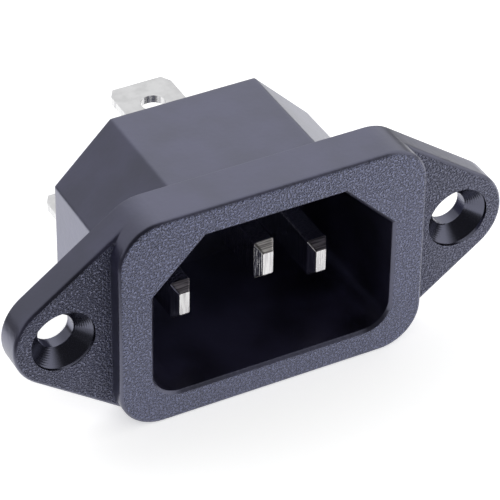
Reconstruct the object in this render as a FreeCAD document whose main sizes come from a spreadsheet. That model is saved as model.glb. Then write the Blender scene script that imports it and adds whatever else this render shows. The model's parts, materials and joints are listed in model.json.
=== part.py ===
import FreeCAD, Part
import math
import os
import Sketcher

# Appliance power inlet, screw-mounted to a panel, with three blade pins and three push-on tabs.
# Millimetres. The origin is on the seating plane of the flange, midway between the two screw
# holes: +X to the right as seen by someone plugging in, +Z up, and the front faces -Y.

# ---------------------------------------------------------------- driving dimensions
SIZES = [
    # mounting flange
    ("hole_spacing", 40.0, "between the axes of the two screw holes"),
    ("flange_thickness", 3.0, "of the two ears"),
    ("ear_radius", 4.7, "round end of each ear, about the screw hole"),
    ("screw_clearance", 3.5, "diameter of the through hole for an M3 screw"),
    ("countersink_diameter", 6.2, "at the front of an ear"),
    ("countersink_wall", 0.35, "depth of the straight wall above the cone"),
    ("countersink_angle", 90.0, "included angle, degrees"),
    ("front_edge_radius", 0.4, "rounding of the front edges of ears and bezel"),
    ("back_edge_bevel", 0.15, "back edge of the flange"),
    # raised bezel round the socket; the flange is as high as the bezel
    ("bezel_width", 30.8, "across"),
    ("bezel_height", 22.4, "flush with the top and bottom of the flange"),
    ("bezel_rise", 1.8, "in front of the ears"),
    ("bezel_corner_radius", 4.2, "outside corners"),
    # socket cavity, keyed by two chamfered top corners
    ("cavity_width", 24.1, "inside, behind the lead-in"),
    ("cavity_height", 16.6, "inside, behind the lead-in"),
    ("cavity_chamfer", 5.1, "leg of each 45 degree top corner"),
    ("cavity_corner_radius", 2.7, "bottom corners"),
    ("lead_in", 0.28, "bevel round the cavity's mouth"),
    ("draft_angle", 0.25, "mould draft, degrees"),
    # shroud behind the panel
    ("shroud_wall", 1.15, "round the cavity"),
    ("shroud_depth", 13.8, "behind the seating plane"),
    ("rear_wall", 2.0, "floor of the cavity to the rear face"),
    ("shroud_edge_radius", 0.3, "rounding of the long edges and round the rear face"),
    # pins: solid bars with a shoulder, a neck through the rear wall and a peened spigot
    ("pin_spacing", 14.0, "between the two power pins"),
    ("power_pin_drop", 2.1, "power pins below the middle"),
    ("earth_pin_lift", 4.0, "earth pin above the line of the power pins"),
    ("pin_width", 2.0, "thickness of the bar"),
    ("pin_height", 4.0, "height of the bar"),
    ("pin_edge_radius", 0.25, "long edges of the bar"),
    ("pin_tip_width", 1.0, "flat end of the tip"),
    ("pin_tip_height", 2.4, "flat end of the tip"),
    ("pin_tip_length", 0.9, "bevelled length"),
    ("power_pin_setback", 4.2, "tip of a power pin behind the bezel's face"),
    ("earth_pin_setback", 1.5, "tip of the earth pin behind the bezel's face"),
    ("neck_height", 2.8, "of the bar where it passes the rear wall"),
    ("spigot_diameter", 1.8, "through the tab's foot"),
    ("rivet_head_diameter", 2.7, "peened head"),
    ("rivet_head_height", 0.7, "peened head"),
    # tabs: strip with a riveted foot, bent back into a push-on blade
    ("tab_width", 6.3, "blade"),
    ("tab_thickness", 0.8, "strip"),
    ("tab_reach", 9.9, "end of the blade behind the rear face"),
    ("tab_bend_radius", 0.8, "inside the bend"),
    ("tab_corner_inset", 0.7, "bevelled end corners, across the blade"),
    ("tab_corner_length", 1.2, "bevelled end corners, along the blade"),
    ("tab_end_bevel", 0.2, "lead-in at the end of the blade, top and bottom"),
    ("tab_hole_diameter", 2.4, "locking hole"),
    ("tab_hole_setback", 3.8, "centre of the locking hole from the end"),
    ("foot_width", 5.0, "riveted foot"),
    ("earth_tab_offset", 2.7, "middle of the blade from the middle of the earth pin"),
    ("power_tab_offset", 3.35, "middle of the blade from the middle of a power pin"),
    ("seat_depth", 0.4, "recess in the rear face that keeps a foot from turning"),
    ("fit_gap", 0.05, "clearance of the metal parts in the housing, each side"),
]

# Places worked out from the sizes, as expressions for the sheet
BEZEL_FACE = "(Sizes.flange_thickness + Sizes.bezel_rise)"
FLOOR = "(Sizes.shroud_depth - Sizes.rear_wall)"
SEAT = "(Sizes.shroud_depth - Sizes.seat_depth)"
WEB = "(Sizes.rear_wall - Sizes.seat_depth)"
BEND_OUTSIDE = "(Sizes.tab_bend_radius + Sizes.tab_thickness)"
BLADE_END = "(Sizes.tab_reach + Sizes.seat_depth)"

# The three contacts: where each pin stands, how far its tip lies behind the bezel's face, how far
# the blade is offset from the pin, and whether it is offset upwards or downwards
POWER = {"z": "-Sizes.power_pin_drop", "setback": "Sizes.power_pin_setback",
         "offset": "Sizes.power_tab_offset", "side": -1}
CONTACTS = {
    "left_power": {"x": "-Sizes.pin_spacing / 2", **POWER},
    "right_power": {"x": "Sizes.pin_spacing / 2", **POWER},
    "earth": {"x": "0", "z": "(Sizes.earth_pin_lift - Sizes.power_pin_drop)",
              "setback": "Sizes.earth_pin_setback", "offset": "Sizes.earth_tab_offset", "side": 1},
}

TOLERANCE = 1e-4

doc = FreeCAD.newDocument("panel_inlet")
sheet = doc.addObject("Spreadsheet::Sheet", "Sizes")
for row, (alias, number, note) in enumerate(SIZES, start=1):
    sheet.set("A%d" % row, note)
    sheet.set("B%d" % row, str(number))
    sheet.setAlias("B%d" % row, alias)
doc.recompute()


def value(expression):
    """The number that an expression on the sheet gives now."""
    return float(sheet.evalExpression(expression.replace("Sizes.", "")))


# ---------------------------------------------------------------- sketches and features
ACROSS, UP, ORIGIN = -1, -2, (-1, 1)
START, END, CENTRE = 1, 2, 3


def new_body(label):
    return doc.addObject("PartDesign::Body", label)


def new_sketch(body, name, plane="XZ_Plane", offset=None):
    """A sketch parallel to an origin plane; on XZ the offset counts towards the front."""
    sketch = body.newObject("Sketcher::SketchObject", name)
    support = next(f for f in body.Origin.OriginFeatures if f.Role == plane)
    sketch.AttachmentSupport = [(support, "")]
    sketch.MapMode = "FlatFace"
    if offset:
        sketch.setExpression("AttachmentOffset.Base.z", offset)
    return sketch


def line(sketch, start, end):
    points = [FreeCAD.Vector(*start, 0), FreeCAD.Vector(*end, 0)]
    return sketch.addGeometry(Part.LineSegment(*points), False)


def arc(sketch, centre, radius, first, last):
    """An arc that runs anticlockwise between two angles in degrees."""
    circle = Part.Circle(FreeCAD.Vector(*centre, 0), FreeCAD.Vector(0, 0, 1), radius)
    return sketch.addGeometry(Part.ArcOfCircle(circle, math.radians(first), math.radians(last)), False)


def rule(sketch, kind, *references):
    return sketch.addConstraint(Sketcher.Constraint(kind, *references))


def measure(sketch, kind, references, expression):
    """A dimension that follows an expression on the sheet."""
    constraint = Sketcher.Constraint(kind, *references, value(expression))
    index = sketch.addConstraint(constraint)
    sketch.setExpression("Constraints[%d]" % index, expression)


def place(sketch, element, point, x=None, z=None):
    """Holds a point at signed distances from the sketch's origin, or on one of its axes."""
    for kind, expression, axis in (("DistanceX", x, UP), ("DistanceY", z, ACROSS)):
        if expression == "0":
            rule(sketch, "PointOnObject", element, point, axis)
        elif expression is not None:
            measure(sketch, kind, ORIGIN + (element, point), expression)


def close_outline(sketch, elements):
    """Joins elements head to tail, smoothly wherever one of the two is an arc."""
    for this, following in zip(elements, elements[1:] + elements[:1]):
        both = (sketch.Geometry[this], sketch.Geometry[following])
        has_arc = any(isinstance(g, Part.ArcOfCircle) for g in both)
        rule(sketch, "Tangent" if has_arc else "Coincident", this, END, following, START)


def same_radius(sketch, arcs, expression):
    measure(sketch, "Radius", (arcs[0],), expression)
    for other in arcs[1:]:
        rule(sketch, "Equal", arcs[0], other)


def rounded_rectangle(sketch, width, height, radius, x="0", z="0"):
    """A rectangle about (x, z) with equal round corners."""
    w, h, r = value(width) / 2, value(height) / 2, value(radius)
    cx, cz = value(x), value(z)
    corners = [(cx + w, cz + h), (cx - w, cz + h), (cx - w, cz - h), (cx + w, cz - h)]
    inward = [(-1, -1), (1, -1), (1, 1), (-1, 1)]
    along = [(-1, 0), (0, -1), (1, 0), (0, 1)]
    arcs, lines, ring = [], [], []
    for i, ((px, pz), (ix, iz)) in enumerate(zip(corners, inward)):
        qx, qz = corners[(i + 1) % 4]
        ax, az = along[i]
        arcs.append(arc(sketch, (px + ix * r, pz + iz * r), r, 90 * i, 90 * i + 90))
        lines.append(line(sketch, (px + ax * r, pz + az * r), (qx - ax * r, qz - az * r)))
        ring += [arcs[-1], lines[-1]]
    close_outline(sketch, ring)
    for i, side in enumerate(lines):
        rule(sketch, "Horizontal" if i % 2 == 0 else "Vertical", side)
    same_radius(sketch, arcs, radius)
    place(sketch, lines[0], START, z="%s + %s / 2" % (z, height))
    place(sketch, lines[2], START, z="%s - %s / 2" % (z, height))
    place(sketch, lines[3], START, x="%s + %s / 2" % (x, width))
    place(sketch, lines[1], START, x="%s - %s / 2" % (x, width))


def rectangle(sketch, width, height, x="0", z="0"):
    """A rectangle about (x, z) with sharp corners."""
    w, h = value(width) / 2, value(height) / 2
    cx, cz = value(x), value(z)
    corners = [(cx + w, cz + h), (cx - w, cz + h), (cx - w, cz - h), (cx + w, cz - h)]
    sides = [line(sketch, corners[i], corners[(i + 1) % 4]) for i in range(4)]
    close_outline(sketch, sides)
    for i, side in enumerate(sides):
        rule(sketch, "Horizontal" if i % 2 == 0 else "Vertical", side)
    place(sketch, sides[0], START, x="%s + %s / 2" % (x, width), z="%s + %s / 2" % (z, height))
    place(sketch, sides[2], START, x="%s - %s / 2" % (x, width), z="%s - %s / 2" % (z, height))


def circle(sketch, diameter, x="0", z="0"):
    centre = FreeCAD.Vector(value(x), value(z), 0)
    ring = sketch.addGeometry(Part.Circle(centre, FreeCAD.Vector(0, 0, 1), value(diameter) / 2), False)
    place(sketch, ring, CENTRE, x=x, z=z)
    measure(sketch, "Diameter", (ring,), diameter)


def keyed_outline(sketch, margin):
    """The cavity's outline, moved outwards by a margin: two chamfered and two round corners."""
    width = "(Sizes.cavity_width + 2 * %s)" % margin
    height = "(Sizes.cavity_height + 2 * %s)" % margin
    radius = "(Sizes.cavity_corner_radius + %s)" % margin
    leg = "(Sizes.cavity_chamfer + (2 - sqrt(2)) * %s)" % margin
    w, h, r, c = value(width) / 2, value(height) / 2, value(radius), value(leg)
    right = line(sketch, (w, r - h), (w, h - c))
    right_chamfer = line(sketch, (w, h - c), (w - c, h))
    top = line(sketch, (w - c, h), (c - w, h))
    left_chamfer = line(sketch, (c - w, h), (-w, h - c))
    left = line(sketch, (-w, h - c), (-w, r - h))
    left_corner = arc(sketch, (r - w, r - h), r, 180, 270)
    bottom = line(sketch, (r - w, -h), (w - r, -h))
    right_corner = arc(sketch, (w - r, r - h), r, 270, 360)
    close_outline(sketch, [right, right_chamfer, top, left_chamfer,
                           left, left_corner, bottom, right_corner])
    for side in (right, left):
        rule(sketch, "Vertical", side)
    for side in (top, bottom):
        rule(sketch, "Horizontal", side)
    same_radius(sketch, [left_corner, right_corner], radius)
    place(sketch, right, END, x=width + " / 2", z="%s / 2 - %s" % (height, leg))
    place(sketch, left, START, x="-%s / 2" % width, z="%s / 2 - %s" % (height, leg))
    place(sketch, top, START, x="%s / 2 - %s" % (width, leg), z=height + " / 2")
    place(sketch, top, END, x="%s - %s / 2" % (leg, width))
    place(sketch, bottom, START, z="-%s / 2" % height)


def flange_outline(sketch):
    """Ear ends and bezel corners joined by their common tangents."""
    ear, corner = value("Sizes.ear_radius"), value("Sizes.bezel_corner_radius")
    ear_x = value("Sizes.hole_spacing / 2")
    corner_x = value("Sizes.bezel_width / 2") - corner
    top = value("Sizes.bezel_height / 2")
    run, drop = ear_x - corner_x, corner - top
    tilt = math.degrees(math.atan2(drop, run) + math.acos((corner - ear) / math.hypot(run, drop)))
    ends = {1: arc(sketch, (ear_x, 0), ear, -tilt, tilt),
            -1: arc(sketch, (-ear_x, 0), ear, 180 - tilt, 180 + tilt)}
    first = {(1, 1): tilt, (-1, 1): 90, (-1, -1): 180 + tilt, (1, -1): 270}
    corners = {}
    for (sx, sz), angle in first.items():
        centre = (sx * corner_x, sz * (top - corner))
        corners[sx, sz] = arc(sketch, centre, corner, angle, angle + 90 - tilt)

    def tangent_line(this, following):
        ends_of = sketch.Geometry[this].EndPoint, sketch.Geometry[following].StartPoint
        return line(sketch, *[(p.x, p.y) for p in ends_of])

    order = [ends[1], corners[1, 1], corners[-1, 1], ends[-1], corners[-1, -1], corners[1, -1]]
    ring, joins = [], []
    for this, following in zip(order, order[1:] + order[:1]):
        joins.append(tangent_line(this, following))
        ring += [this, joins[-1]]
    close_outline(sketch, ring)
    rule(sketch, "Horizontal", joins[1])
    rule(sketch, "Horizontal", joins[4])
    same_radius(sketch, list(ends.values()), "Sizes.ear_radius")
    same_radius(sketch, list(corners.values()), "Sizes.bezel_corner_radius")
    for sx, end in ends.items():
        place(sketch, end, CENTRE, x="%d * Sizes.hole_spacing / 2" % sx, z="0")
    for (sx, sz), end in corners.items():
        place(sketch, end, CENTRE,
              x="%d * (Sizes.bezel_width / 2 - Sizes.bezel_corner_radius)" % sx)
    place(sketch, joins[1], START, z="Sizes.bezel_height / 2")
    place(sketch, joins[4], START, z="-Sizes.bezel_height / 2")


def feature(body, kind, name, sketch=None, **settings):
    """Adds a feature and checks that it changed the body's volume the way it should."""
    doc.recompute()
    before = body.Shape.Volume if body.Tip else 0.0
    made = body.newObject("PartDesign::" + kind, name)
    if sketch:
        made.Profile = sketch
    for key, setting in settings.items():
        if isinstance(setting, str) and "Sizes." in setting:
            made.setExpression(key, setting)
        else:
            setattr(made, key, setting)
    body.Tip = made
    doc.recompute()
    change = body.Shape.Volume - before
    adds = kind in ("Pad", "Revolution", "AdditiveLoft")
    cuts = kind in ("Pocket", "Hole")
    if "Invalid" in made.State or change == 0 or (adds and change < 0) or (cuts and change > 0):
        raise RuntimeError("%s %s changed the volume by %.3f" % (body.Label, name, change))


def dress_edges(body, kind, name, chosen, **size):
    """Fillets or chamfers every edge of the body's tip that the test picks."""
    edges = enumerate(body.Tip.Shape.Edges, start=1)
    names = ["Edge%d" % number for number, edge in edges if chosen(edge)]
    feature(body, kind, name, Base=(body.Tip, names), **size)


def on_plane(edge, y):
    """True for an edge that lies wholly at one depth."""
    box = edge.BoundBox
    return abs(box.YMin - y) < TOLERANCE and abs(box.YMax - y) < TOLERANCE


# ---------------------------------------------------------------- housing, one moulding
def add_shroud(body):
    """The keyed box behind the panel, drafted towards its rear face."""
    outline = new_sketch(body, "shroud_outline")
    keyed_outline(outline, "Sizes.shroud_wall")
    feature(body, "Pad", "shroud", outline, Reversed=True, Length="Sizes.shroud_depth",
            TaperAngle="-Sizes.draft_angle")
    depth = value("Sizes.shroud_depth")

    def sharp(edge):
        box = edge.BoundBox
        beside_chamfer = box.YLength > depth - TOLERANCE and box.ZMax > 0
        return on_plane(edge, depth) or beside_chamfer

    dress_edges(body, "Fillet", "shroud_edges", sharp, Radius="Sizes.shroud_edge_radius")


def add_flange(body):
    """Two ears in one plate, its back edge bevelled and its front edge round."""
    outline = new_sketch(body, "flange_outline")
    flange_outline(outline)
    feature(body, "Pad", "flange", outline, Length="Sizes.flange_thickness")
    front = -value("Sizes.flange_thickness")
    half_width = value("Sizes.cavity_width / 2 + Sizes.shroud_wall") + TOLERANCE
    half_height = value("Sizes.cavity_height / 2 + Sizes.shroud_wall") + TOLERANCE

    def outer_back(edge):
        box = edge.BoundBox
        beyond_shroud = (max(-box.XMin, box.XMax) > half_width
                         or max(-box.ZMin, box.ZMax) > half_height)
        return on_plane(edge, 0) and beyond_shroud

    dress_edges(body, "Fillet", "ear_front_edges", lambda edge: on_plane(edge, front),
                Radius="Sizes.front_edge_radius")
    dress_edges(body, "Chamfer", "flange_back_edges", outer_back, Size="Sizes.back_edge_bevel")


def add_bezel(body):
    """The raised frame round the socket, as high as the flange."""
    outline = new_sketch(body, "bezel_outline", offset="Sizes.back_edge_bevel")
    rounded_rectangle(outline, "Sizes.bezel_width", "Sizes.bezel_height", "Sizes.bezel_corner_radius")
    feature(body, "Pad", "bezel", outline, Length=BEZEL_FACE + " - Sizes.back_edge_bevel")
    front = -value(BEZEL_FACE)
    dress_edges(body, "Fillet", "bezel_front_edges", lambda edge: on_plane(edge, front),
                Radius="Sizes.front_edge_radius")


def cut_cavity(body):
    """The socket, drafted towards its floor, with a bevelled mouth."""
    outline = new_sketch(body, "cavity_outline", offset=BEZEL_FACE)
    keyed_outline(outline, "0")
    feature(body, "Pocket", "cavity", outline, Length="%s + %s" % (BEZEL_FACE, FLOOR),
            TaperAngle="-Sizes.draft_angle")
    front, half = -value(BEZEL_FACE), value("Sizes.cavity_width / 2") + TOLERANCE

    def mouth(edge):
        return on_plane(edge, front) and max(-edge.BoundBox.XMin, edge.BoundBox.XMax) < half

    dress_edges(body, "Chamfer", "cavity_mouth", mouth, Size="Sizes.lead_in")


def cut_contact_seats(body):
    """A slot through the rear wall for each pin's neck and a shallow seat for each tab's foot."""
    slots = new_sketch(body, "pin_slots_outline", offset="-" + FLOOR)
    seats = new_sketch(body, "foot_seats_outline", offset="-Sizes.shroud_depth")
    for contact in CONTACTS.values():
        rectangle(slots, "(Sizes.pin_width + 2 * Sizes.fit_gap)",
                  "(Sizes.neck_height + 2 * Sizes.fit_gap)", contact["x"], contact["z"])
        reach = "(%s + Sizes.tab_thickness / 2 + Sizes.fit_gap)" % contact["offset"]
        foot_outline(seats, "(Sizes.foot_width + 2 * Sizes.fit_gap)", reach,
                     contact["x"], contact["z"], contact["side"])
    feature(body, "Pocket", "pin_slots", slots, Length="Sizes.rear_wall")
    feature(body, "Pocket", "foot_seats", seats, Reversed=True, Length="Sizes.seat_depth")


def cut_screw_holes(body):
    """A clearance hole in each ear, its cone sunk below a short straight wall."""
    centres = new_sketch(body, "screw_hole_centres", offset="Sizes.flange_thickness")
    for side in (1, -1):
        circle(centres, "Sizes.screw_clearance", "%d * Sizes.hole_spacing / 2" % side)
    feature(body, "Hole", "screw_holes", centres, ThreadType="None", DepthType="ThroughAll",
            Diameter="Sizes.screw_clearance", HoleCutType="Counterdrill",
            HoleCutDiameter="Sizes.countersink_diameter", HoleCutDepth="Sizes.countersink_wall",
            HoleCutCountersinkAngle="Sizes.countersink_angle")


def make_housing():
    body = new_body("inlet_housing")
    add_shroud(body)
    add_flange(body)
    add_bezel(body)
    cut_cavity(body)
    cut_contact_seats(body)
    cut_screw_holes(body)
    return body


# ---------------------------------------------------------------- contacts
def put(body, contact, turned):
    """Stands a pin or tab on its contact's centre line, at the seat of the tab's foot."""
    if turned:
        body.Placement = FreeCAD.Placement(FreeCAD.Vector(), FreeCAD.Rotation(FreeCAD.Vector(0, 1, 0), 180))
    for axis, expression in (("x", contact["x"]), ("y", SEAT), ("z", contact["z"])):
        body.setExpression("Placement.Base." + axis, expression)


def rivet_profile(sketch):
    """Half of a domed head that lies on the tab's foot."""
    base, radius = value("Sizes.tab_thickness"), value("Sizes.rivet_head_diameter / 2")
    height = value("Sizes.rivet_head_height")
    dome = (radius ** 2 + height ** 2) / (2 * height)
    foot = line(sketch, (base, 0), (base, radius))
    middle = line(sketch, (base + height, 0), (base, 0))
    crown = arc(sketch, (base + height - dome, 0), dome, 0, math.degrees(math.asin(radius / dome)))
    for this, that in (((foot, START), (middle, END)), ((foot, END), (crown, END)),
                       ((crown, START), (middle, START))):
        rule(sketch, "Coincident", *this, *that)
    rule(sketch, "Vertical", foot)
    place(sketch, crown, CENTRE, z="0")
    place(sketch, foot, START, x="Sizes.tab_thickness", z="0")
    place(sketch, foot, END, z="Sizes.rivet_head_diameter / 2")
    place(sketch, middle, START, x="Sizes.tab_thickness + Sizes.rivet_head_height", z="0")


def make_pin(label, contact):
    """A flat bar with a bevelled tip, a neck through the rear wall, a spigot and its peened head."""
    body = new_body(label)
    bar_length = "(%s + %s - %s - Sizes.pin_tip_length)" % (BEZEL_FACE, FLOOR, contact["setback"])
    bar_end = "%s + %s" % (WEB, bar_length)

    outline = new_sketch(body, "bar_outline", offset=WEB)
    rounded_rectangle(outline, "Sizes.pin_width", "Sizes.pin_height", "Sizes.pin_edge_radius")
    feature(body, "Pad", "bar", outline, Length=bar_length)

    base = new_sketch(body, "tip_base", offset=bar_end)
    rounded_rectangle(base, "Sizes.pin_width", "Sizes.pin_height", "Sizes.pin_edge_radius")
    end = new_sketch(body, "tip_end", offset=bar_end + " + Sizes.pin_tip_length")
    rounded_rectangle(end, "Sizes.pin_tip_width", "Sizes.pin_tip_height",
                      "Sizes.pin_edge_radius * Sizes.pin_tip_width / Sizes.pin_width")
    feature(body, "AdditiveLoft", "tip", base, Sections=[end], Ruled=True)

    outline = new_sketch(body, "neck_outline", offset=WEB)
    rectangle(outline, "Sizes.pin_width", "Sizes.neck_height")
    feature(body, "Pad", "neck", outline, Reversed=True, Length=WEB)

    outline = new_sketch(body, "spigot_outline")
    circle(outline, "Sizes.spigot_diameter")
    feature(body, "Pad", "spigot", outline, Reversed=True, Length="Sizes.tab_thickness")

    outline = new_sketch(body, "rivet_outline", plane="YZ_Plane")
    rivet_profile(outline)
    feature(body, "Revolution", "rivet_head", outline, ReferenceAxis=(outline, ["H_Axis"]))
    put(body, contact, turned=False)
    return body


def foot_outline(sketch, width, reach, x="0", z="0", side=1):
    """Round about the pin and straight from there to the reach, upwards or downwards."""
    r, cx, cz, end = value(width) / 2, value(x), value(z), value(reach)
    first = 180 if side > 0 else 0
    round_end = arc(sketch, (cx, cz), r, first, first + 180)
    corners = [(cx + side * r, cz), (cx + side * r, cz + side * end),
               (cx - side * r, cz + side * end), (cx - side * r, cz)]
    sides = [line(sketch, *pair) for pair in zip(corners, corners[1:])]
    close_outline(sketch, [round_end] + sides)
    rule(sketch, "Horizontal", sides[1])
    place(sketch, round_end, CENTRE, x=x, z=z)
    measure(sketch, "Radius", (round_end,), width + " / 2")
    measure(sketch, "DistanceY", (round_end, CENTRE, sides[1], START), "%d * %s" % (side, reach))


def blade_outline(sketch):
    """The blade from the bend to its bevelled end; the shoulders widen at 45 degrees."""
    neck, half = "Sizes.foot_width / 2", "Sizes.tab_width / 2"
    corner = "(Sizes.tab_width / 2 - Sizes.tab_corner_inset)"
    right = [(neck, BEND_OUTSIDE), (half, "%s + %s - %s" % (BEND_OUTSIDE, half, neck)),
             (half, BLADE_END + " - Sizes.tab_corner_length"), (corner, BLADE_END)]
    left = [("-" + x, y) for x, y in reversed(right)]
    corners = right + left
    points = [(value(x), value(y)) for x, y in corners]
    sides = [line(sketch, *pair) for pair in zip(points, points[1:] + points[:1])]
    close_outline(sketch, sides)
    for side, (x, y) in zip(sides, corners):
        place(sketch, side, START, x=x, z=y)


def make_tab(label, contact):
    """Drawn with the blade above the pin; the power tabs are turned over."""
    body = new_body(label)
    outside = "(%s + Sizes.tab_thickness / 2)" % contact["offset"]
    foot_reach = "(%s - %s)" % (outside, BEND_OUTSIDE)

    outline = new_sketch(body, "foot_outline")
    foot_outline(outline, "Sizes.foot_width", foot_reach)
    circle(outline, "(Sizes.spigot_diameter + 2 * Sizes.fit_gap)")
    feature(body, "Pad", "foot", outline, Reversed=True, Length="Sizes.tab_thickness")

    outline = new_sketch(body, "bend_section", plane="XY_Plane", offset=foot_reach)
    rectangle(outline, "Sizes.foot_width", "Sizes.tab_thickness", z="Sizes.tab_thickness / 2")
    half, middle = value("Sizes.foot_width / 2"), value(BEND_OUTSIDE)
    axis = line(outline, (-half, middle), (half, middle))
    outline.toggleConstruction(axis)
    rule(outline, "Horizontal", axis)
    place(outline, axis, START, x="-Sizes.foot_width / 2", z=BEND_OUTSIDE)
    place(outline, axis, END, x="Sizes.foot_width / 2")
    feature(body, "Revolution", "bend", outline, ReferenceAxis=(outline, ["Axis0"]), Angle=90.0,
            Reversed=True)

    outline = new_sketch(body, "blade_outline", plane="XY_Plane",
                         offset="%s - Sizes.tab_thickness" % outside)
    blade_outline(outline)
    circle(outline, "Sizes.tab_hole_diameter", z=BLADE_END + " - Sizes.tab_hole_setback")
    feature(body, "Pad", "blade", outline, Length="Sizes.tab_thickness")
    end = value(BLADE_END)
    dress_edges(body, "Chamfer", "blade_end_bevel",
                lambda edge: on_plane(edge, end) and edge.BoundBox.XLength > TOLERANCE,
                Size="Sizes.tab_end_bevel")
    put(body, contact, turned=contact["side"] < 0)
    return body


# ---------------------------------------------------------------- build, check, write
parts = [make_housing()]
for name, contact in CONTACTS.items():
    parts.append(make_pin(name + "_pin", contact))
    parts.append(make_tab(name + "_tab", contact))
doc.recompute()

for thing in doc.Objects:
    if "Invalid" in thing.State or "Error" in thing.State:
        raise RuntimeError("%s failed: %s" % (thing.Name, thing.State))
for part in parts:
    if part.Shape.isNull() or not part.Shape.isValid() or len(part.Shape.Solids) != 1:
        raise RuntimeError("%s isn't one valid solid" % part.Label)

os.makedirs("parts", exist_ok=True)
for part in parts:
    part.Shape.exportStep("parts/%s.step" % part.Label)
    print("%-18s %9.3f mm3" % (part.Label, part.Shape.Volume))
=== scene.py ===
import json
import math

import bpy
from mathutils import Matrix, Vector


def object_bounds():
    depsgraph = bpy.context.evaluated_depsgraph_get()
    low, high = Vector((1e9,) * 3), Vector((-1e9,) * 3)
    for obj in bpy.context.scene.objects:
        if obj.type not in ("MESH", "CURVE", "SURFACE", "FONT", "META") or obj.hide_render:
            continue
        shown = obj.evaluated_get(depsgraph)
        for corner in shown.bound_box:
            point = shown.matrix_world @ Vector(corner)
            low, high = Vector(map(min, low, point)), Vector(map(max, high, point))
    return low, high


# The dressed C14 inlet: one moulding of black polyamide, three nickel-plated pins and three
# nickel-plated tabs, on a white floor. All lengths are metres; MM turns millimetres into metres.
MM = 0.001

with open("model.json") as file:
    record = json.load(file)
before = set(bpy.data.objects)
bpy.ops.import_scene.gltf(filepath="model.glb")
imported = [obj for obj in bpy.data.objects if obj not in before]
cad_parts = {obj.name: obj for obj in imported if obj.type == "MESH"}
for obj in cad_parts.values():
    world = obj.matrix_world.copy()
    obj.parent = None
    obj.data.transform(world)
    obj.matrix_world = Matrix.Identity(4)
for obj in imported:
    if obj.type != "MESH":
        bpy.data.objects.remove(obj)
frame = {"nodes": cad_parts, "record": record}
cad_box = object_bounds()
cad = frame["nodes"]

# A mask runs smoothly from 0 at its From Min to 1 at its From Max.
SMOOTH = {"interpolation_type": "SMOOTHSTEP"}
COLOUR = {"data_type": "RGBA"}
WHITE = (1.0, 1.0, 1.0, 1.0)
# Noise keeps near its middle; this range spreads it from 0 to 1.
NOISE_RANGE = {"From Min": 0.3, "From Max": 0.7}


# ---------------------------------------------------------------- colours and nodes
def linear(hex_colour):
    """sRGB hex such as "a1b2c3" as linear red, green, blue and alpha."""
    channels = [int(hex_colour[i:i + 2], 16) / 255 for i in (0, 2, 4)]
    return [c / 12.92 if c <= 0.04045 else ((c + 0.055) / 1.055) ** 2.4 for c in channels] + [1.0]


def add_node(tree, kind, inputs=None, **settings):
    """Adds a node, sets its properties, and gives its inputs their values and links.

    An input is named, or numbered where several share a name. It takes a value, a socket, or a
    node, which stands for that node's first live output.
    """
    node = tree.nodes.new("ShaderNode" + kind)
    for key, setting in settings.items():
        setattr(node, key, setting)
    for key, given in (inputs or {}).items():
        socket = node.inputs[key]
        if isinstance(key, str):
            socket = next(s for s in node.inputs if s.name == key and s.enabled)
        if isinstance(given, bpy.types.Node):
            given = next(s for s in given.outputs if s.enabled)
        if isinstance(given, bpy.types.NodeSocket):
            tree.links.new(given, socket)
        else:
            socket.default_value = given
    return node


def new_material(name):
    """A material with an empty node tree, and its object coordinates in metres."""
    material = bpy.data.materials.new(name)
    material.use_nodes = True
    tree = material.node_tree
    tree.nodes.clear()
    return material, tree, add_node(tree, "TexCoord").outputs["Object"]


# ---------------------------------------------------------------- black moulding
# The moulding is black glass-filled polyamide. The mould's front faces are spark-eroded, which
# leaves a fine sparkling grain of matt pits and shinier peaks, coarser on the ears than on the
# bezel. The peaks are also painted paler, a painted highlight that leaves the pits in painted shade.
# Its other faces are polished, so they mirror the room softly through a faint orange peel and a dull
# bloom, and go nearly black where they face nothing bright. The core pins that form the screw holes
# are turned and polished brighter, and the holes' colour is painted darker, as painted shade.
# Outside edges are worn a little round.
# The bloom's two colours, and the screw holes' darker colour, which is painted shade.
DULL, BLOOMED, HOLE_SHADE = "100e16", "2a283c", "0e0d14"
# Paler colours painted on the grain's peaks, paler on the bezel than on the ears: painted highlight.
EAR_PEAK_HIGHLIGHT, BEZEL_PEAK_HIGHLIGHT = "50536c", "6a7092"
BLOOM = 5 * MM
GRAIN = 0.2 * MM
GRAIN_RANGE = {"From Min": 0.36, "From Max": 0.64}
EAR_GRAIN_DEPTH, BEZEL_GRAIN_DEPTH = 0.18 * MM, 0.11 * MM
PEEL, PEEL_DEPTH = 0.5 * MM, 0.015 * MM
# Turned rings are really about 0.05 mm apart, and are drawn as coarse as they need to show.
TURNED_PITCH, TURNED_DEPTH = 0.16 * MM, 0.0016 * MM
FLANGE_WEAR, SHROUD_WEAR = 0.22 * MM, 0.5 * MM
WEAR_SAMPLES = 8
# Roughness of the polished faces and the screw holes, and of the grain's peaks and pits.
SHINE, HOLE_SHINE = 0.3, 0.2
PEAK_SHINE, EAR_PITS, BEZEL_PITS = 0.24, 0.65, 0.42
# Higher than polyamide's 1.53 and the plain level of 0.5: the glass filler and the mould's skin
# shine more than the resin, and a little blue.
SKIN_IOR, SKIN_SPECULAR = 1.85, 1.0
SKIN_TINT = (0.73, 0.75, 1.0, 1.0)
# Places on the moulding. The back of its flange is at 0 along y, and HOLE_REACH is just past
# the wall of a countersink, from the axis of its hole. BLEND sets how wide the edges of masks are.
BEZEL_RISE = 1.8 * MM
HOLE_REACH = 3.15 * MM
BLEND = 0.1 * MM
BEZEL_FACE = cad_box[0][1]
EARS_FRONT = BEZEL_FACE + BEZEL_RISE
screw_holes = next(mount for mount in frame["record"]["mounts"] if mount["name"] == "screw_holes")
HOLE_X = screw_holes["dims"]["spacing_x_mm"] / 2 * MM
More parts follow.
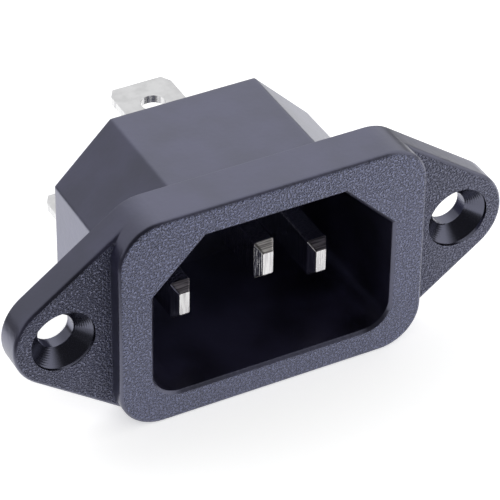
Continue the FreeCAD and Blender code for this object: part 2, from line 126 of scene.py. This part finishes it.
# Masks by place.
IN_CAVITY = {"From Min": BEZEL_FACE + 1 * MM, "From Max": BEZEL_FACE + 1.5 * MM}
ON_SHROUD = {"From Min": 0.5 * MM, "From Max": 1.5 * MM}
ON_FRONT = {"From Min": EARS_FRONT + 2 * BLEND, "From Max": EARS_FRONT + BLEND}
ON_BEZEL = {"From Min": EARS_FRONT - BLEND, "From Max": EARS_FRONT - 2 * BLEND}
BY_HOLE = {"From Min": HOLE_REACH + BLEND / 2, "From Max": HOLE_REACH}
BEFORE_BACK = {"From Min": -BLEND, "From Max": -2 * BLEND}
# Masks by the way a face turns, and by the height of the grain.
FACING_MIDDLE = {"From Min": 1 * MM, "From Max": 0.0}
FACING_FRONT = {"From Min": -0.85, "From Max": -0.995}
IN_PITS = {"From Min": 0.7, "From Max": 0.1}


def black_polyamide():
    """The housing's plastic, grained in front and polished elsewhere."""
    material, tree, place = new_material("spark_eroded_black_polyamide")
    along = add_node(tree, "SeparateXYZ", {"Vector": place}).outputs
    normal = add_node(tree, "NewGeometry").outputs["Normal"]

    # Walls inside the cavity face its middle. Their edges stay sharp.
    sideways = add_node(tree, "VectorMath", {0: place, 1: (1, 0, 1)}, operation="MULTIPLY")
    outward = add_node(tree, "VectorMath", {0: sideways, 1: normal}, operation="DOT_PRODUCT")
    faces_in = add_node(tree, "MapRange", {"Value": outward, **FACING_MIDDLE}, **SMOOTH)
    deep = add_node(tree, "MapRange", {"Value": along["Y"], **IN_CAVITY}, **SMOOTH)
    inside = add_node(tree, "Math", {0: faces_in, 1: deep}, operation="MULTIPLY")
    rounder = add_node(tree, "MapRange", {"Value": along["Y"], **ON_SHROUD,
                                          "To Min": FLANGE_WEAR, "To Max": SHROUD_WEAR}, **SMOOTH)
    wear = add_node(tree, "Mix", {"Factor": inside, "A": rounder, "B": 0.0})
    worn = add_node(tree, "Bevel", {"Radius": wear}, samples=WEAR_SAMPLES)

    # The grain covers what faces forward on the ears and the bezel. It is shallower on the bezel.
    facing = add_node(tree, "SeparateXYZ", {"Vector": worn}).outputs["Y"]
    faces_front = add_node(tree, "MapRange", {"Value": facing, **FACING_FRONT}, **SMOOTH)
    at_front = add_node(tree, "MapRange", {"Value": along["Y"], **ON_FRONT}, **SMOOTH)
    grained = add_node(tree, "Math", {0: faces_front, 1: at_front}, operation="MULTIPLY")
    on_bezel = add_node(tree, "MapRange", {"Value": along["Y"], **ON_BEZEL}, **SMOOTH)
    speckle = add_node(tree, "TexNoise", {"Vector": place, "Scale": 1 / GRAIN, "Detail": 1.0})
    grit = add_node(tree, "MapRange", {"Value": speckle, **GRAIN_RANGE}, **SMOOTH)
    shallow = BEZEL_GRAIN_DEPTH / EAR_GRAIN_DEPTH
    depth = add_node(tree, "Mix", {"Factor": on_bezel, "A": 1.0, "B": shallow})
    eroded = add_node(tree, "Math", {0: grit, 1: depth}, operation="MULTIPLY")
    height = add_node(tree, "Math", {0: eroded, 1: grained}, operation="MULTIPLY")

    # The screw holes carry fine turned rings, and the rest a faint orange peel.
    across = add_node(tree, "Math", {0: along["X"]}, operation="ABSOLUTE")
    from_axis = add_node(tree, "Math", {0: across, 1: HOLE_X}, operation="SUBTRACT")
    from_hole = add_node(tree, "CombineXYZ", {"X": from_axis, "Y": along["Z"]})
    radius = add_node(tree, "VectorMath", {0: from_hole}, operation="LENGTH")
    by_hole = add_node(tree, "MapRange", {"Value": radius, **BY_HOLE}, **SMOOTH)
    before_back = add_node(tree, "MapRange", {"Value": along["Y"], **BEFORE_BACK}, **SMOOTH)
    in_hole = add_node(tree, "Math", {0: by_hole, 1: before_back}, operation="MULTIPLY")
    turn = add_node(tree, "Math", {0: along["Y"], 1: 2 * math.pi / TURNED_PITCH}, operation="MULTIPLY")
    ring = add_node(tree, "Math", {0: turn}, operation="SINE")
    turned = add_node(tree, "Math", {0: ring, 1: TURNED_DEPTH / PEEL_DEPTH}, operation="MULTIPLY")
    peel = add_node(tree, "TexNoise", {"Vector": place, "Scale": 1 / PEEL, "Detail": 1.0})
    skin = add_node(tree, "Mix", {"Factor": in_hole, "A": peel, "B": turned})
    waves = add_node(tree, "Bump", {"Height": skin, "Distance": PEEL_DEPTH, "Strength": 1.0,
                                    "Normal": worn})
    grain = add_node(tree, "Bump", {"Height": height, "Distance": EAR_GRAIN_DEPTH, "Strength": 1.0,
                                    "Normal": waves})

    shine = add_node(tree, "Mix", {"Factor": in_hole, "A": SHINE, "B": HOLE_SHINE})
    pits = add_node(tree, "Mix", {"Factor": on_bezel, "A": EAR_PITS, "B": BEZEL_PITS})
    matt = add_node(tree, "MapRange", {"Value": grit, **IN_PITS,
                                       "To Min": PEAK_SHINE, "To Max": pits}, **SMOOTH)
    roughness = add_node(tree, "Mix", {"Factor": grained, "A": shine, "B": matt})
    cloud = add_node(tree, "TexNoise", {"Vector": place, "Scale": 1 / BLOOM, "Detail": 6.0})
    bloom = add_node(tree, "MapRange", {"Value": cloud, **NOISE_RANGE}, **SMOOTH)
    bloomed = add_node(tree, "Mix", {"Factor": bloom, "A": linear(DULL), "B": linear(BLOOMED)}, **COLOUR)
    # The screw holes are painted darker: painted shade.
    moulded = add_node(tree, "Mix", {"Factor": in_hole, "A": bloomed, "B": linear(HOLE_SHADE)}, **COLOUR)
    # The grain's peaks are painted paler: a painted highlight, which leaves the pits in painted shade.
    peak_highlight = add_node(tree, "Mix", {"Factor": on_bezel, "A": linear(EAR_PEAK_HIGHLIGHT),
                                       "B": linear(BEZEL_PEAK_HIGHLIGHT)}, **COLOUR)
    peaks = add_node(tree, "Math", {0: grained, 1: grit}, operation="MULTIPLY")
    colour = add_node(tree, "Mix", {"Factor": peaks, "A": moulded, "B": peak_highlight}, **COLOUR)
    shader = add_node(tree, "BsdfPrincipled", {
        "Base Color": colour, "Roughness": roughness, "IOR": SKIN_IOR,
        "Specular IOR Level": SKIN_SPECULAR, "Specular Tint": SKIN_TINT, "Normal": grain})
    add_node(tree, "OutputMaterial", {"Surface": shader})
    return material


# ---------------------------------------------------------------- nickel plate
# Bright nickel over brass. The pins are bar, sawn to length and tumbled, which leaves soft upright
# streaks on the end and slightly round edges. The bevels of their tips are ground, with streaks across
# them, painted darker on the power pins as painted shade and brighter on the earth pin as a painted
# highlight. The tabs are rolled strip: satin and faintly cloudy, with coarse upright marks on their
# sheared edges.
END_STREAKS = ("cbc9cb", "f8f7f6")
# Streak colours of the bevels, with painted shade on the power pins and a painted highlight on the earth
# pin.
POWER_STREAKS_AND_SHADE, EARTH_STREAKS_AND_HIGHLIGHT = ("5a555a", "aca6ac"), ("908a88", "faf6f2")
ROLLED_FACE, SHEARED_EDGE = ("cfcfd0", "dcdcdd"), ("aeaeb0", "cecece")
# Tool marks are really a few hundredths of a millimetre wide, and are drawn as coarse as they
# need to show.
SAW_MARK, GRIND_MARK, SHEAR_MARK = 0.2 * MM, 0.14 * MM, 0.22 * MM
MARK_LENGTH, MARK_DEPTH = 2.5 * MM, 0.012 * MM
ROLL_CLOUD, ROLL_DEPTH = 1.1 * MM, 0.005 * MM
TUMBLED, TUMBLED_SAMPLES = 0.12 * MM, 6
# Roughness of drawn bar and of ground bevels, and of rolled faces and sheared edges.
DRAWN_SHINE, GROUND_SHINE, ROLLED_SHINE, SHEARED_SHINE = 0.16, 0.42, 0.34, 0.25
# Masks by the way a face turns. A bevel leans up or down, and forward. A sheared edge is upright,
# so its normal is level.
SLANTED = {"From Min": 0.35, "From Max": 0.6}
FORWARD = {"From Min": -0.4, "From Max": -0.6}
LEVEL = {"From Min": 0.5, "From Max": 0.2}


def tool_marks(tree, place, width, lengthways, detail):
    """Streaks of this width that run along one axis, as numbers from 0 to 1."""
    scale = [1 / width] * 3
    scale["XYZ".index(lengthways)] = 1 / MARK_LENGTH
    stretched = add_node(tree, "VectorMath", {0: place, 1: scale}, operation="MULTIPLY")
    noise = add_node(tree, "TexNoise", {"Vector": stretched, "Scale": 1.0, "Detail": detail})
    return add_node(tree, "MapRange", {"Value": noise, **NOISE_RANGE}, **SMOOTH)


def ground_nickel(name, bevel_streaks_and_light):
    """A pin's plate: streaked upright on the bar, and across in these two colours on its bevels, which
    also hold the bevels' painted light.
    """
    material, tree, place = new_material(name)
    normal = add_node(tree, "NewGeometry").outputs["Normal"]
    facing = add_node(tree, "SeparateXYZ", {"Vector": normal}).outputs
    upright = add_node(tree, "Math", {0: facing["Z"]}, operation="ABSOLUTE")
    slanted = add_node(tree, "MapRange", {"Value": upright, **SLANTED}, **SMOOTH)
    forward = add_node(tree, "MapRange", {"Value": facing["Y"], **FORWARD}, **SMOOTH)
    bevel = add_node(tree, "Math", {0: slanted, 1: forward}, operation="MULTIPLY")

    sawn = tool_marks(tree, place, SAW_MARK, "Z", detail=2.0)
    ground = tool_marks(tree, place, GRIND_MARK, "X", detail=2.0)
    marks = add_node(tree, "Mix", {"Factor": bevel, "A": sawn, "B": ground})
    tumbled = add_node(tree, "Bevel", {"Radius": TUMBLED}, samples=TUMBLED_SAMPLES)
    bump = add_node(tree, "Bump", {"Height": marks, "Distance": MARK_DEPTH, "Strength": 1.0,
                                   "Normal": tumbled})

    dark_end, bright_end = map(linear, END_STREAKS)
    end = add_node(tree, "Mix", {"Factor": marks, "A": dark_end, "B": bright_end}, **COLOUR)
    # These bevel colours carry the bevels' painted light.
    dark_bevel, bright_bevel = map(linear, bevel_streaks_and_light)
    streaked = add_node(tree, "Mix", {"Factor": marks, "A": dark_bevel, "B": bright_bevel}, **COLOUR)
    colour = add_node(tree, "Mix", {"Factor": bevel, "A": end, "B": streaked}, **COLOUR)
    roughness = add_node(tree, "Mix", {"Factor": bevel, "A": DRAWN_SHINE, "B": GROUND_SHINE})
    shader = add_node(tree, "BsdfPrincipled", {
        "Base Color": colour, "Metallic": 1.0, "Roughness": roughness, "Normal": bump})
    add_node(tree, "OutputMaterial", {"Surface": shader})
    return material


def rolled_nickel():
    """The tabs' plate: cloudy on the strip's faces, with upright marks on its sheared edges."""
    material, tree, place = new_material("rolled_nickel")
    normal = add_node(tree, "NewGeometry").outputs["Normal"]
    facing = add_node(tree, "SeparateXYZ", {"Vector": normal}).outputs
    upright = add_node(tree, "Math", {0: facing["Z"]}, operation="ABSOLUTE")
    edge = add_node(tree, "MapRange", {"Value": upright, **LEVEL}, **SMOOTH)
    noise = add_node(tree, "TexNoise", {"Vector": place, "Scale": 1 / ROLL_CLOUD, "Detail": 3.0})
    cloud = add_node(tree, "MapRange", {"Value": noise, **NOISE_RANGE}, **SMOOTH)
    shear = tool_marks(tree, place, SHEAR_MARK, "Z", detail=1.0)
    height = add_node(tree, "Mix", {"Factor": edge, "A": cloud, "B": shear})
    bump = add_node(tree, "Bump", {"Height": height, "Distance": ROLL_DEPTH, "Strength": 1.0})

    dull_face, bright_face = map(linear, ROLLED_FACE)
    face = add_node(tree, "Mix", {"Factor": cloud, "A": dull_face, "B": bright_face}, **COLOUR)
    dark_edge, bright_edge = map(linear, SHEARED_EDGE)
    sheared = add_node(tree, "Mix", {"Factor": shear, "A": dark_edge, "B": bright_edge}, **COLOUR)
    colour = add_node(tree, "Mix", {"Factor": edge, "A": face, "B": sheared}, **COLOUR)
    roughness = add_node(tree, "Mix", {"Factor": edge, "A": ROLLED_SHINE, "B": SHEARED_SHINE})
    shader = add_node(tree, "BsdfPrincipled", {
        "Base Color": colour, "Metallic": 1.0, "Roughness": roughness, "Normal": bump})
    add_node(tree, "OutputMaterial", {"Surface": shader})
    return material


# ---------------------------------------------------------------- camera
# Its lens and sensor are in millimetres, and its shift is a share of the sensor's width.
TARGET = Vector((0.294, 0.404, 0.646)) * MM
AZIMUTH, ELEVATION, ROLL = math.radians(28.216), math.radians(37.489), math.radians(0.865)
DISTANCE = 268.27 * MM
LENS, SENSOR = 213.43, 36.0
SHIFT = (-0.0033, 0.0019)
TOWARDS_CAMERA = Vector((-math.sin(AZIMUTH) * math.cos(ELEVATION),
                         -math.cos(AZIMUTH) * math.cos(ELEVATION), math.sin(ELEVATION)))


def make_camera():
    """Looks down on the socket from its front left, with a long lens."""
    level = Vector((math.cos(AZIMUTH), -math.sin(AZIMUTH), 0.0))
    upright = TOWARDS_CAMERA.cross(level)
    right = level * math.cos(ROLL) + upright * math.sin(ROLL)
    up = upright * math.cos(ROLL) - level * math.sin(ROLL)
    camera = bpy.data.objects.new("camera", bpy.data.cameras.new("camera"))
    turn = Matrix((right, up, TOWARDS_CAMERA)).transposed().to_4x4()
    camera.matrix_world = Matrix.Translation(TARGET + TOWARDS_CAMERA * DISTANCE) @ turn
    camera.data.lens = LENS
    camera.data.sensor_width = SENSOR
    camera.data.shift_x, camera.data.shift_y = SHIFT
    camera.data.clip_start = 10 * MM
    bpy.context.scene.collection.objects.link(camera)
    bpy.context.scene.camera = camera


# ---------------------------------------------------------------- floor, room and lamps
# White paper, which looks white and still takes the shadow. What mirrors see of it is a painted
# reflection: it glows for them, brighter behind the socket and on its right than in front, and far off
# it is painted dark: in front of the socket, at its left and far behind it, each with the distances
# where the painted darkening starts and where it is full.
FLOOR_REACH = 3.0
CORNERS = ((-1, -1), (1, -1), (1, 1), (-1, 1))
PAPER, FAR_DARK = 0.9, 0.1
SHOWN_GLOW, FRONT_GLOW, BACK_GLOW = 0.55, 0.48, 0.88
BEHIND = {"From Min": -5 * MM, "From Max": 20 * MM}
RIGHT_SIDE = {"From Min": 20 * MM, "From Max": 36 * MM}
PAST_FRONT = {"From Min": -9 * MM, "From Max": -1 * MM}
FAR_DARKENING = {(0.0, -1.0, 0.0): (25 * MM, 70 * MM), (-0.7, -0.7, 0.0): (20 * MM, 42 * MM),
              (-1.0, 0.0, 0.0): (30 * MM, 64 * MM), (0.7, 0.7, 0.0): (66 * MM, 118 * MM)}


def make_floor():
    """A flat sheet under the part."""
    height = cad_box[0][2]
    mesh = bpy.data.meshes.new("floor")
    mesh.from_pydata([(x * FLOOR_REACH, y * FLOOR_REACH, height) for x, y in CORNERS], [], [(0, 1, 2, 3)])
    floor = bpy.data.objects.new("floor", mesh)
    bpy.context.scene.collection.objects.link(floor)
    material, tree, place = new_material("white_paper")
    along = add_node(tree, "SeparateXYZ", {"Vector": place}).outputs
    path = add_node(tree, "LightPath").outputs
    mirrored = path["Is Glossy Ray"]

    # Painted reflection: mirrors see the paper go dark far off.
    ended = 0.0
    for towards, (fades, gone) in FAR_DARKENING.items():
        away = add_node(tree, "VectorMath", {0: place, 1: towards}, operation="DOT_PRODUCT")
        past = add_node(tree, "MapRange", {"Value": away, "From Min": fades, "From Max": gone}, **SMOOTH)
        ended = add_node(tree, "Math", {0: ended, 1: past}, operation="MAXIMUM")
    far_in_mirrors = add_node(tree, "Math", {0: ended, 1: mirrored}, operation="MULTIPLY")
    shade = add_node(tree, "Mix", {"Factor": far_in_mirrors, "A": PAPER, "B": FAR_DARK})
    paper = add_node(tree, "BsdfDiffuse", {"Color": shade})

    # Painted reflection: the glow that mirrors see, brighter behind the socket and on its right.
    behind = add_node(tree, "MapRange", {"Value": along["Y"], **BEHIND}, **SMOOTH)
    right = add_node(tree, "MapRange", {"Value": along["X"], **RIGHT_SIDE}, **SMOOTH)
    past_front = add_node(tree, "MapRange", {"Value": along["Y"], **PAST_FRONT}, **SMOOTH)
    beside = add_node(tree, "Math", {0: right, 1: past_front}, operation="MULTIPLY")
    bright = add_node(tree, "Math", {0: behind, 1: beside}, operation="MAXIMUM")
    graded = add_node(tree, "Mix", {"Factor": bright, "A": FRONT_GLOW, "B": BACK_GLOW})
    lit = add_node(tree, "Mix", {"Factor": far_in_mirrors, "A": graded, "B": 0.0})
    strength = add_node(tree, "Mix", {"Factor": mirrored, "A": SHOWN_GLOW, "B": lit})
    glow = add_node(tree, "Emission", {"Color": WHITE, "Strength": strength})

    seen = path["Is Camera Ray"]
    for ray in ("Is Glossy Ray", "Is Transmission Ray"):
        seen = add_node(tree, "Math", {0: seen, 1: path[ray]}, operation="MAXIMUM")
    shown = add_node(tree, "MixShader", {0: seen, 2: glow})
    surface = add_node(tree, "AddShader", {0: paper, 1: shown})
    add_node(tree, "OutputMaterial", {"Surface": surface})
    mesh.materials.append(material)


# The camera's side of the room is dark, fully within 35 degrees of the camera and not at all past
# 72. The left wall is grey, by how far left a direction points, and the rest is white.
CAMERA_SIDE_LIGHT = 0.05
CAMERA_SIDE = {"From Min": math.cos(math.radians(72)), "From Max": math.cos(math.radians(35))}
LEFT_WALL_LIGHT = 0.55
OFF_LEFT_WALL = {"From Min": -0.55, "From Max": 0.35}


def make_room():
    """The light that comes from all round."""
    world = bpy.data.worlds.new("room")
    world.use_nodes = True
    tree = world.node_tree
    tree.nodes.clear()
    direction = add_node(tree, "TexCoord").outputs["Generated"]
    towards = add_node(tree, "VectorMath", {0: direction, 1: TOWARDS_CAMERA}, operation="DOT_PRODUCT")
    dark = add_node(tree, "MapRange", {"Value": towards, **CAMERA_SIDE}, **SMOOTH)
    rightwards = add_node(tree, "SeparateXYZ", {"Vector": direction}).outputs["X"]
    wall = add_node(tree, "MapRange", {"Value": rightwards, **OFF_LEFT_WALL,
                                       "To Min": LEFT_WALL_LIGHT, "To Max": 1.0}, **SMOOTH)
    light = add_node(tree, "Mix", {"Factor": dark, "A": wall, "B": CAMERA_SIDE_LIGHT})
    seen = add_node(tree, "LightPath").outputs["Is Camera Ray"]
    shown = add_node(tree, "Mix", {"Factor": seen, "A": light, "B": 1.0})
    background = add_node(tree, "Background", {"Color": WHITE, "Strength": shown})
    add_node(tree, "OutputWorld", {"Surface": background})
    bpy.context.scene.world = world


def softbox(name, towards, distance, size, radiance):
    """A rectangular lamp that faces the object and isn't mirrored in it."""
    lamp = bpy.data.lights.new(name, "AREA")
    lamp.shape = "RECTANGLE"
    lamp.size, lamp.size_y = size
    lamp.energy = radiance * math.pi * size[0] * size[1]
    holder = bpy.data.objects.new(name, lamp)
    direction = Vector(towards).normalized()
    turn = direction.to_track_quat("Z", "Y").to_matrix().to_4x4()
    holder.matrix_world = Matrix.Translation(direction * distance) @ turn
    holder.visible_glossy = False
    bpy.context.scene.collection.objects.link(holder)


# ---------------------------------------------------------------- the dressed part
# The power pins' bevels carry painted shade, and the earth pin's a painted highlight.
power_nickel = ground_nickel("ground_nickel", POWER_STREAKS_AND_SHADE)
earth_nickel = ground_nickel("ground_nickel_with_highlight", EARTH_STREAKS_AND_HIGHLIGHT)
strip_nickel = rolled_nickel()
finishes = {
    "inlet_housing": black_polyamide(),
    "left_power_pin": power_nickel,
    "right_power_pin": power_nickel,
    "earth_pin": earth_nickel,
    "left_power_tab": strip_nickel,
    "right_power_tab": strip_nickel,
    "earth_tab": strip_nickel,
}
for node, finish in finishes.items():
    cad[node].data.materials.clear()
    cad[node].data.materials.append(finish)

make_camera()
make_floor()
make_room()
softbox("back_softbox", towards=(-0.3, 0.6, 0.75), distance=1.0, size=(0.8, 0.6), radiance=1.6)
softbox("front_fill", towards=(-0.2, -0.6, 0.8), distance=1.2, size=(1.2, 0.8), radiance=1.2)
bpy.context.scene.view_settings.view_transform = "Standard"
